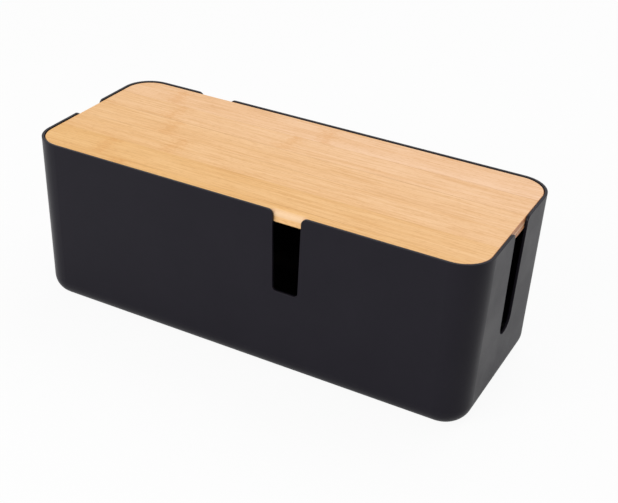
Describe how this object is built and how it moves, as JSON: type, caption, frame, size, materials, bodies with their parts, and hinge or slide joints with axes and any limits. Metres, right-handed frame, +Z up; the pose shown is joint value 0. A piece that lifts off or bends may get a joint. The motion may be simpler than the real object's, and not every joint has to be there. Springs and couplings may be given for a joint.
{
  "type": "cable management box",
  "caption": "Long tapered cable box with rounded corners, open cable slots in its front, back and ends, a drop-in laminated bamboo lid and rubber feet.",
  "frame": {"origin": "on the surface that the feet stand on, under the middle of the box", "axes": "+X along the box, +Y to the back (the front slot is on -Y, right of the middle), +Z up and along the lid's lift"},
  "size_m": [0.32, 0.13, 0.12],
  "materials": {
    "moulded_black": "fine matte texture",
    "bamboo": "satin, fine straight grain along X",
    "foot_rubber": "matte"
  },
  "bodies": {
    "box": {"box_shell": "moulded_black", "foot_front_right": "foot_rubber", "foot_back_right": "foot_rubber", "foot_back_left": "foot_rubber", "foot_front_left": "foot_rubber"},
    "lid": {"lid_top_strip_1": "bamboo", "lid_top_strip_2": "bamboo", "lid_top_strip_3": "bamboo", "lid_top_strip_4": "bamboo", "lid_top_strip_5": "bamboo", "lid_top_strip_6": "bamboo", "lid_top_strip_7": "bamboo", "lid_under_strip_1": "bamboo", "lid_under_strip_2": "bamboo", "lid_under_strip_3": "bamboo", "lid_under_strip_4": "bamboo", "lid_under_strip_5": "bamboo", "lid_under_strip_6": "bamboo"}
  },
  "joints": [
    {"name": "lid_lift", "type": "slide", "parent": "box", "child": "lid", "axis": [0, 0, 1], "range_m": [0, 0.06]}
  ]
}
